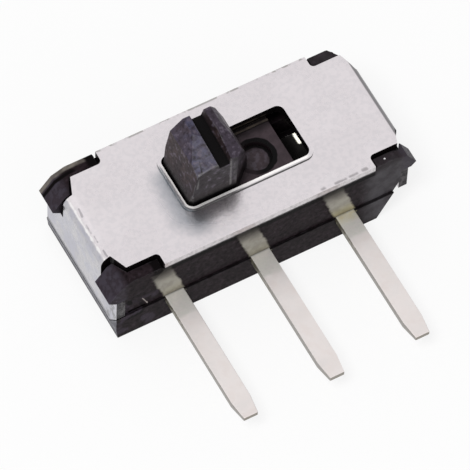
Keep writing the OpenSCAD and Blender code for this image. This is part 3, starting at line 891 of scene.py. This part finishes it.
def light_bends(f, uncut):
    """A painted highlight and dark dashes along the left bend, and a dark painted reflection along
    the right one.
    """
    bend_z, dash_z = BODY_H - 0.1, BODY_H - 0.035
    # Painted highlight along the left bend.
    bend_highlight = f.line((0.11 - END_X, 1.0, bend_z), (0.12 - END_X, -1.1, bend_z),
                       0.006, 0.035, 0.16, 5.0)
    f.paint((246, 245, 244), bend_highlight, uncut, 0.7)
    for (in_0, y0), (in_1, y1), width in (((0.22, 0.56), (0.19, 0.33), 0.016),
                                          ((0.16, 0.06), (0.15, -0.2), 0.016),
                                          ((0.18, -0.33), (0.18, -0.52), 0.006),
                                          ((0.19, -0.8), (0.2, -1.0), 0.012)):
        dash = f.line((in_0 - END_X, y0, dash_z), (in_1 - END_X, y1, dash_z),
                      width, 0.025, 0.05, 6.0)
        f.paint((120, 118, 124), dash, uncut, 0.55)
    # Dark painted reflection along the right bend.
    f.paint((124, 122, 124), f.within(f.z, BODY_H - 0.23, BODY_H - 0.045, 0.025),
            f.ramp(f.x, END_X - 0.2, END_X - 0.15))


def smudge_edges(f, uncut):
    """Burrs and smudges along the front edge of the plate, and a darker ragged band along its back
    edge.
    """
    at_top = f.ramp(f.z, BODY_H - 0.1, BODY_H - 0.02)
    f.paint((120, 116, 118), f.ramp(f.y, 0.08 - EDGE_Y, 0.01 - EDGE_Y), at_top,
            f.specks(14.0, 0.2), 0.7)
    for x, y, half in ((1.69, -1.84, 0.03), (2.2, -1.85, 0.14), (2.58, -1.84, 0.1),
                       (2.91, -1.83, 0.05)):
        smudge = f.line((x - half, y, BODY_H), (x + half, y, BODY_H), 0.0, 0.07, 0.1, 5.0)
        f.paint((126, 122, 124), smudge, uncut, 0.65)
    # A darker ragged band along the back edge.
    f.paint((146, 144, 140), f.ramp(f.y, EDGE_Y - 0.09, EDGE_Y - 0.05), at_top,
            f.blotches(4.0, 0.48, 0.58), 0.75)


def make_tinned_sheet():
    """Bright tin on a punched and folded sheet, dark where the sheet was cut, with painted
    highlights, reflections and shade.
    """
    f = Finish("tinned_sheet", (218, 212, 215), metallic=1.0, roughness=0.25, ior=1.15)
    f.give_grain(0.9, 9.0, 0.004)
    f.paint((224, 218, 221), f.coarse(0.35, 0.7, 0.0, 0.5))
    f.paint((200, 197, 201), f.fine(0.42, 0.62, 0.0, 0.3))
    f.roughen(f.coarse(0.35, 0.65), 0.32)
    shade_left_flange(f)
    uncut = shade_cut_faces(f)
    polish_and_light_lip(f, uncut)
    light_bends(f, uncut)
    smudge_edges(f, uncut)
    f.paint((240, 238, 238), f.wear(0.05), uncut, 0.3)
    # Painted shade in the crevices near the top.
    f.paint((120, 118, 122), f.crevices(0.25), uncut,
            f.ramp(f.z, BODY_H - 0.1, BODY_H - 0.2, 0.0, 0.35))
    return f.done(0.5)


def light_ends(f):
    """Painted light: the right end of the front, the hooks, the back hook's top and the foot are
    painted greyer than the rest, with black painted shadow lines.
    """
    far_x = f.calc("ABSOLUTE", f.x)
    # Painted sheen on the right end of the front.
    f.paint((90, 88, 92), f.ramp(f.x, 2.75, 3.3), f.blotches(3.0, 0.35, 0.65, 0.5, 1.0),
            f.ramp(f.z, RIM_Z + 0.02, RIM_Z - 0.23, 0.25, 0.75))
    hooks = f.both(f.ramp(far_x, END_X - 0.38, END_X - 0.18), f.ramp(f.z, HOOK_Z - 0.08, HOOK_Z))
    # Painted light on the hooks, with specks.
    f.paint((68, 63, 72), hooks, f.blotches(7.0, 0.35, 0.65, 0.3, 0.8))
    f.paint((118, 114, 122), hooks, f.specks(8.0, 0.15), 0.5)
    back_hook = f.both(f.ramp(f.x, -2.9, -3.05), f.ramp(f.facing[2], 0.3, 0.6))
    # Painted light on the back hook's upward faces, with a black stripe across it.
    f.paint((118, 112, 106), back_hook, f.ramp(f.y, EDGE_Y - 0.12, EDGE_Y - 0.06),
            f.blotches(4.0, 0.35, 0.6, 0.5, 1.0))
    f.paint((12, 9, 10), back_hook, f.within(f.y, EDGE_Y - 0.22, EDGE_Y - 0.16, 0.04),
            f.ramp(f.x, -3.5, -3.7))
    # Painted light on the foot's left faces.
    foot = f.both(f.ramp(f.x, 0.25 - END_X, 0.17 - END_X), f.ramp(f.z, 1.2, 1.0))
    f.paint((128, 128, 136), foot, f.ramp(f.z, 0.0, 0.35, 0.5, 0.95),
            f.ramp(f.facing[0], -0.2, -0.9), f.blotches(5.0, 0.35, 0.6, 0.6, 1.0))
    # Black painted shadow lines under the cover's edge and along the top of the band.
    notch_x = END_X - RIGHT_NOTCH_L
    f.paint((12, 9, 10), f.ramp(f.z, RIM_Z - 0.28, RIM_Z - 0.23),
            f.ramp(far_x, notch_x + 0.1, notch_x))
    f.paint((14, 11, 12), f.within(f.z, FLOOR_Z - 0.01, FLOOR_Z + 0.03, 0.02), 0.85)


def reflect_terminals_in_wall(f):
    """Painted reflections of the terminals on the front wall above each one, yellower above the
    right one.
    """
    front = f.ramp(f.facing[1], -0.5, -0.8)
    slant = f.calc("MULTIPLY_ADD", f.calc("SUBTRACT", f.z, FLOOR_Z), 0.306, f.x)
    leaned = put(f.tree, "CombineXYZ", {0: slant, 1: f.y, 2: f.z}).outputs[0]
    for middle, yellowing in zip(TERM_XS, (0.2, 0.2, 0.6)):
        terminal_reflection = f.patch((middle, -WALL_Y, 1.6), (TERM_W / 2 - 0.02, 1, 0.68), 0.09, 0.14, 5.0,
                        place=leaned)
        blotchy = f.blotches(4.0, 0.35, 0.6, 0.8, 1.0)
        fading = f.ramp(f.z, 2.3, 1.6, 0.1, 0.95)
        yellow = f.ramp(f.z, 1.5, 1.0, 0.0, yellowing)
        colour = lay(f.tree, yellow, tint(172, 168, 158), tint(184, 174, 128))
        # Painted reflection of the terminal, skewed up the wall.
        f.colour = lay(f.tree, f.both(terminal_reflection, front, blotchy, fading), f.colour, colour)


def chip_front_corner(f):
    """Chips and scratches at the left front corner, and a fleck on the right front post."""
    chips = f.patch((-3.7, -1.9, 0.75), (0.5, 0.2, 0.55), 0.25, 0.3, 5.0)
    f.paint((12, 9, 10), chips, f.specks(4.0, 0.5), 0.8)
    f.paint((72, 64, 76), chips, f.blotches(3.0, 0.5, 0.62), 0.5)
    for start, end, width in (((-3.95, -1.9, 0.74), (-3.6, -1.9, 0.78), 0.03),
                              ((-3.9, -1.87, 0.98), (-3.5, -1.87, 1.0), 0.04),
                              ((-3.92, -1.85, 1.48), (-3.88, -1.85, 1.36), 0.06)):
        f.paint((10, 7, 8), f.line(start, end, width, 0.03, 0.1, 6.0))
    scratch = f.line((-3.53, -WALL_Y, 1.36), (-3.38, -WALL_Y, 1.02), 0.0, 0.025, 0.05, 10.0)
    f.paint((190, 180, 176), scratch, 0.85)
    fleck = f.line((3.56, -1.72, POST_TOP_Z), (3.57, -1.72, POST_TOP_Z), 0.01, 0.02, 0.0)
    f.paint((240, 238, 240), fleck)


def make_black_moulding():
    """Black moulding with a soft gloss, chips at the left front corner, painted reflections of the
    terminals, painted light on its ends and painted shade in its crevices.
    """
    f = Finish("black_moulding", (34, 27, 30), roughness=0.3, ior=1.09)
    f.give_grain(1.6, 12.0, 0.01)
    f.paint((46, 37, 41), f.coarse(0.4, 0.65, 0.0, 0.5))
    f.paint((20, 15, 18), f.fine(0.5, 0.66, 0.0, 0.45))
    mottled = f.clouds(7.0, 4.0)
    f.paint((14, 10, 12), f.ramp(mottled, 0.5, 0.68, 0.0, 0.6))
    f.paint((66, 56, 64), f.ramp(mottled, 0.46, 0.34, 0.0, 0.32))
    f.roughen(f.fine(0.4, 0.6), 0.42)
    light_ends(f)
    reflect_terminals_in_wall(f)
    chip_front_corner(f)
    f.paint((100, 96, 102), f.wear(0.04), 0.3)
    # Painted shade in the crevices.
    f.paint((14, 11, 12), f.crevices(0.35), 0.7)
    return f.done(0.5)


def light_knob_sides(f, above):
    """Painted light: the knob is painted bluish on top, browner down its left side and lighter on
    its front and right faces, with painted highlights along its front edges.
    """
    upward = f.both(f.ramp(f.facing[2], 0.45, 0.8), above)
    # Painted light on the upward faces, bluish towards the left.
    f.paint((62, 54, 66), upward, 0.7)
    f.paint((74, 72, 92), upward, f.ramp(f.x, KNOB_X + 0.1, KNOB_X),
            f.ramp(f.clouds(6.0, 4.0), 0.36, 0.64, 0.2, 1.0))
    # Painted light on the left, front and right faces.
    f.paint((62, 50, 50), f.ramp(f.facing[0], -0.4, -0.8), above,
            f.blotches(3.0, 0.38, 0.62, 0.2, 0.8))
    f.paint((62, 60, 64), f.ramp(f.facing[1], -0.5, -0.9), above,
            f.coarse(0.35, 0.65, 0.3, 0.8))
    f.paint((66, 58, 70), f.ramp(f.facing[0], 0.2, 0.5), f.ramp(f.z, 3.6, 3.9), 0.6)
    f.paint((20, 17, 24), f.line((-1.05, 0.0, 4.27), (-1.23, -0.71, 3.95), 0.012, 0.02, 0.02))
    # Painted highlights along the front edges.
    for start, end, share in (((-0.24, -0.72, 2.75), (-0.3, -0.7, 3.8), 0.15),
                              ((-0.4, -0.72, 2.9), (-0.39, -0.68, 4.05), 0.5),
                              ((-0.39, -0.67, 4.06), (-0.9, -0.66, 4.05), 0.5),
                              ((-0.9, -0.66, 4.05), (-1.3, -0.65, 3.93), 0.35),
                              ((-1.3, -0.65, 3.93), (-1.36, -0.7, 3.4), 0.45)):
        f.paint((138, 136, 136), f.line(start, end, 0.01, 0.035, 0.04, 5.0), share)
    mottled = f.clouds(8.0, 4.0)
    f.paint((26, 20, 25), above, f.ramp(mottled, 0.52, 0.68, 0.0, 0.7))
    f.paint((94, 86, 98), above, f.ramp(mottled, 0.46, 0.34, 0.0, 0.7))
    f.paint((18, 14, 16), f.specks(9.0, 0.25), 0.6)
    f.paint((124, 122, 126), f.wear(0.045, 3.5), above, 0.55)


def shade_groove(f):
    """The groove between the crests and the foot of the knob are painted black as shade, and the
    groove is dull.
    """
    groove = f.patch((KNOB_X, 0.1, 4.1), (GROOVE_HALF + 0.01, 1.2, 0.2), 0.03, 0.03)
    # Painted shade in the groove.
    f.paint((8, 6, 7), groove)
    f.roughen(groove, 0.9)
    # Painted shade along the foot of the knob.
    f.paint((8, 6, 7), f.ramp(f.z, 3.0, 2.8), f.ramp(f.z, PLATE_TOP_Z + 0.02, PLATE_TOP_Z + 0.1))


def brown_and_shade_plate(f):
    """The plate is purple-brown and darker towards the back, with a ring of painted shade round its
    recess and painted light on the ribs behind.
    """
    flat = f.both(f.within(f.z, PLATE_TOP_Z - RECESS_D - 0.02, PLATE_TOP_Z + 0.01, 0.02),
                  f.ramp(f.facing[2], 0.5, 0.8))
    f.paint((68, 57, 62), flat, f.blotches(5.0, 0.35, 0.65, 0.6, 1.0))
    f.paint((20, 16, 18), flat, f.ramp(f.y, 0.5, 0.75, 0.0, 0.7))
    middle = calc_place(f.tree, "MULTIPLY", f.place, (1, 1, 0))
    apart = measure(f.tree, "DISTANCE", middle, (KNOB_X + RECESS_X, 0, 0))
    wobbly = f.calc("MULTIPLY_ADD", f.clouds(6.0), 0.06, apart)
    f.paint((100, 92, 102), flat, f.ramp(wobbly, RECESS_R - 0.02, RECESS_R - 0.08),
            f.blotches(7.0, 0.42, 0.64, 0.0, 0.45))
    # Painted shade: a dark ring round the recess, darkest on its right.
    ring = f.within(wobbly, RECESS_R - 0.03, RECESS_R + 0.14, 0.03)
    f.paint((8, 7, 8), flat, ring, f.ramp(f.x, 0.3, 0.8, 0.4, 1.0))
    f.roughen(f.both(flat, ring), 0.9)
    # Painted light on the ribs behind.
    f.paint((106, 96, 86), f.ramp(f.z, PLATE_TOP_Z + 0.02, PLATE_TOP_Z + 0.04),
            f.ramp(f.z, PLATE_TOP_Z + 0.1, PLATE_TOP_Z + 0.06), f.blotches(2.5, 0.3, 0.6),
            f.ramp(f.y, 0.74, 0.78), 0.45)


def make_black_knob():
    """Black moulding with painted light, bluish on top and browner down its left side, a groove and
    foot painted dark as shade, and painted shade in its crevices.
    """
    f = Finish("black_knob", (36, 29, 32), roughness=0.36, ior=1.25)
    f.give_grain(1.8, 11.0, 0.012)
    f.paint((48, 40, 42), f.coarse(0.4, 0.65, 0.0, 0.5))
    f.roughen(f.fine(0.4, 0.65), 0.48)
    light_knob_sides(f, f.ramp(f.z, 2.9, 3.3))
    shade_groove(f)
    brown_and_shade_plate(f)
    # Painted shade in the crevices.
    f.paint((8, 6, 7), f.crevices(0.3), 0.8)
    return f.done(0.6)


def paint_pad_glint(f, inside):
    """A painted glint on the right pad, tilted like a shallow dish."""
    spot_x, spot_y, half_w = 2.42, 0.71, 0.13
    spot = (spot_x, spot_y, FLOOR_Z)
    pad_glint = f.line((spot_x, spot_y - half_w, FLOOR_Z), (spot_x, spot_y + half_w, FLOOR_Z),
                    0.04, 0.05, 0.03, 4.0)
    # Painted glint on the right pad.
    f.paint((255, 252, 238), pad_glint)
    f.roughen(pad_glint, 0.42)
    hollow = measure(f.tree, "DOT_PRODUCT", calc_place(f.tree, "SUBTRACT", f.place, spot),
                     (0.95, 0.74, 0))
    f.raise_by(f.patch(spot, (0.12, 0.3, 0.1), 0.3, 0.0), hollow)
    feed(f.tree, f.shader.inputs["Metallic"],
         f.any(f.ramp(inside, 0.0, 1.0, 0.4, 0.0), pad_glint))


def make_tinned_strip():
    """Warm tin on the terminals, painted darker at the root and near black inside the body as
    shade, dark along the sheared sides partly as painted shade, and with a painted glint on the
    right pad.
    """
    f = Finish("tinned_strip", (230, 223, 221), metallic=0.4, roughness=0.34)
    f.give_grain(1.2, 8.0, 0.004)
    f.paint((222, 214, 211), f.coarse(0.38, 0.66, 0.0, 0.5))
    f.roughen(f.fine(0.35, 0.65), 0.44)
    tarnish = f.clouds(3.0, 4.0)
    f.paint((216, 202, 196), f.ramp(tarnish, 0.48, 0.7, 0.0, 0.2))
    f.paint((204, 206, 206), f.ramp(tarnish, 0.52, 0.32, 0.0, 0.12))
    # The roots are painted darker as shade, and the right one is yellowed.
    root = f.ramp(f.calc("MULTIPLY_ADD", f.coarse_grain, 0.3, f.y), -2.48, -2.36)
    f.paint((206, 204, 198), root, f.fine(0.35, 0.6, 0.55, 0.95))
    f.paint((198, 190, 156), f.ramp(f.y, -2.2, -2.0), f.ramp(f.x, 1.9, 2.1),
            f.fine(0.35, 0.6, 0.7, 0.3))
    # Painted shade: the pads inside the body painted near black.
    inside = f.ramp(f.y, -1.9, -1.8)
    f.paint((20, 16, 15), inside)
    f.roughen(inside, 0.8)
    paint_pad_glint(f, inside)
    # The sheared sides are painted dark, partly as raw sheared edges and partly as painted shade,
    # and lighter towards the tip.
    side = f.ramp(f.calc("ABSOLUTE", f.facing[0]), 0.4, 0.8)
    f.paint((92, 86, 62), side, f.fine(0.4, 0.62, 0.95, 0.6))
    f.paint((158, 154, 150), side, f.ramp(f.y, -2.5, -3.4, 0.0, 0.8))
    f.paint((110, 104, 88), f.ramp(f.facing[1], -0.4, -0.8),
            f.ramp(f.y, TIP_Y + 0.125, TIP_Y + 0.025), 0.8)
    f.paint((240, 234, 232), f.wear(0.04), 0.4)
    return f.done(0.4)


def make_spring_metal(name, shades, dull):
    """A drawn spring metal with faint streaks and tarnish in its hollows."""
    f = Finish(name, shades, metallic=1.0, roughness=0.26)
    f.give_grain(2.0, 14.0, 0.004)
    f.paint(dull, f.coarse(0.4, 0.66, 0.0, 0.7))
    f.roughen(f.fine(0.35, 0.65), 0.4)
    f.paint(dull, f.crevices(0.2), 0.5)
    f.paint((246, 240, 224), f.wear(0.03), 0.4)
    return f.done(0.4)


tin = make_tinned_sheet()
moulding = make_black_moulding()
knob_black = make_black_knob()
strip = make_tinned_strip()
brass = make_spring_metal("contact_brass", (228, 206, 150), (170, 140, 88))
wire = make_spring_metal("spring_wire", (206, 206, 208), (140, 138, 136))

# ---- pieces ----

finish_piece(make_cover(), "folded_cover", tin, "tinned_steel", "housing", "cover")
finish_piece(make_base(), "moulded_base", moulding, "black_moulding", "housing", "base_housing")
finish_piece(make_slider(), "moulded_slider", knob_black, "black_knob", "slider", "slider")
finish_piece(make_bridge(), "sliding_contact", brass, "contact_brass", "slider", "contact_bridge")
finish_piece(make_spring(), "contact_coil", wire, "spring_wire", "slider", "contact_spring")
for node, x, pad in zip(("terminal_left", "terminal_common", "terminal_right"), TERM_XS, PADS):
    finish_piece(make_terminal(x, *pad), node + "_strip", strip, "tinned_brass", "housing", node)

# ---- floor, light and camera ----

AZIMUTH, ELEVATION, ROLL = -31.40, 59.56, 3.05
DISTANCE = 153.4
AIM = (0.115, -1.897)
SENSOR, LENS = 36, 459.6
FLOOR_SIZE, FLOOR_DROP = 0.6, 0.00002
LAMP_TOWARD, LAMP_DISTANCE = (-0.39, -0.2, 0.9), 0.3
LAMP_SIZE, LAMP_POWER = 0.1, 0.42


def make_camera():
    """A long lens, looking down from the front left."""
    turn = (Matrix.Rotation(math.radians(AZIMUTH), 4, "Z")
            @ Matrix.Rotation(math.radians(90 - ELEVATION), 4, "X")
            @ Matrix.Rotation(math.radians(ROLL), 4, "Z"))
    right, up, back = turn.to_3x3().col
    aim = Vector((0, 0, BODY_H)) + right * AIM[0] + up * AIM[1]
    bpy.ops.object.camera_add()
    camera = bpy.context.active_object
    camera.matrix_world = Matrix.Translation((aim + back * DISTANCE) * MM) @ turn
    camera.data.sensor_width = SENSOR
    camera.data.lens = LENS
    camera.data.clip_start = 0.001
    camera.data.clip_end = 10
    bpy.context.scene.camera = camera


def seen_by_lens(tree):
    """Where the lens sees a background, straight or mirrored in a gloss."""
    light_path = put(tree, "LightPath").outputs
    mirrored_rays = calc(tree, "MAXIMUM", light_path["Is Glossy Ray"],
                         light_path["Is Transmission Ray"])
    return calc(tree, "MAXIMUM", light_path["Is Camera Ray"], mirrored_rays)


def make_floor():
    """A plain pale floor, white to the lens and still darker where the switch shades it."""
    deselect()
    bpy.ops.mesh.primitive_plane_add(size=FLOOR_SIZE, location=(0, 0, -FLOOR_DROP))
    floor = bpy.context.active_object
    floor.name = "floor"
    material = bpy.data.materials.new("pale_floor")
    material.use_nodes = True
    tree = material.node_tree
    shader = tree.nodes["Principled BSDF"]
    shader.inputs["Base Color"].default_value = (0.95, 0.95, 0.95, 1)
    shader.inputs["Roughness"].default_value = 0.9
    glow = put(tree, "Emission", {"Color": (1, 1, 1, 1), "Strength": 1.0}).outputs[0]
    share = calc(tree, "MULTIPLY", seen_by_lens(tree), 0.8)
    mixed = put(tree, "MixShader", {0: share, 1: shader.outputs[0], 2: glow}).outputs[0]
    tree.links.new(mixed, tree.nodes["Material Output"].inputs["Surface"])
    floor.data.materials.append(material)


def make_studio():
    """A white studio all round, white to the lens and dimmer as a light."""
    world = bpy.data.worlds.new("studio")
    world.use_nodes = True
    tree = world.node_tree
    strength = put(tree, "MapRange", {"Value": seen_by_lens(tree), "To Min": 0.55,
                                      "To Max": 1.0}).outputs[0]
    feed(tree, tree.nodes["Background"].inputs["Color"], (1, 1, 1, 1))
    feed(tree, tree.nodes["Background"].inputs["Strength"], strength)
    bpy.context.scene.world = world


def make_lamp():
    """One square soft lamp, above the switch and a little to its left and front."""
    away = Vector(LAMP_TOWARD).normalized() * LAMP_DISTANCE
    bpy.ops.object.light_add(type="AREA", location=away,
                             rotation=away.to_track_quat("Z", "Y").to_euler())
    lamp = bpy.context.active_object
    lamp.name = "key_lamp"
    lamp.data.size = LAMP_SIZE
    lamp.data.energy = LAMP_POWER


make_camera()
make_floor()
make_studio()
make_lamp()
bpy.context.scene.view_settings.view_transform = "Standard"
